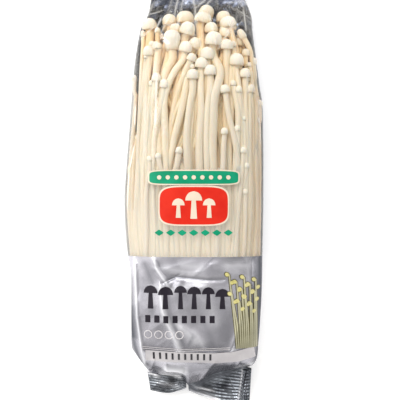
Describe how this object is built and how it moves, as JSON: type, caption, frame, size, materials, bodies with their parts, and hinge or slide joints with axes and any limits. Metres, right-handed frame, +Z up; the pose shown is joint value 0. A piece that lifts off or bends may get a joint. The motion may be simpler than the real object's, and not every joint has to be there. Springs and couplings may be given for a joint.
{
  "type": "film-packed enoki mushroom bunch",
  "caption": "Bunch of thin-stemmed enoki mushrooms lying in a clear and silver film bag with crimped ends.",
  "frame": {"origin": "centre of the bounding box's bottom, on the surface that the pack lies on", "axes": "+Z up, out of the pack's front; +Y along the stems, from the trimmed base to the caps; +X across the pack, to the right as its front is seen with the caps up"},
  "size_m": [0.06, 0.189, 0.0293],
  "materials": {
    "mushroom": "satin",
    "silver_print": "gloss",
    "clear_film": "polished"
  },
  "bodies": {
    "root": {"mushroom_bunch": "mushroom", "printed_film": "silver_print", "window_film": "clear_film"}
  },
  "joints": []
}
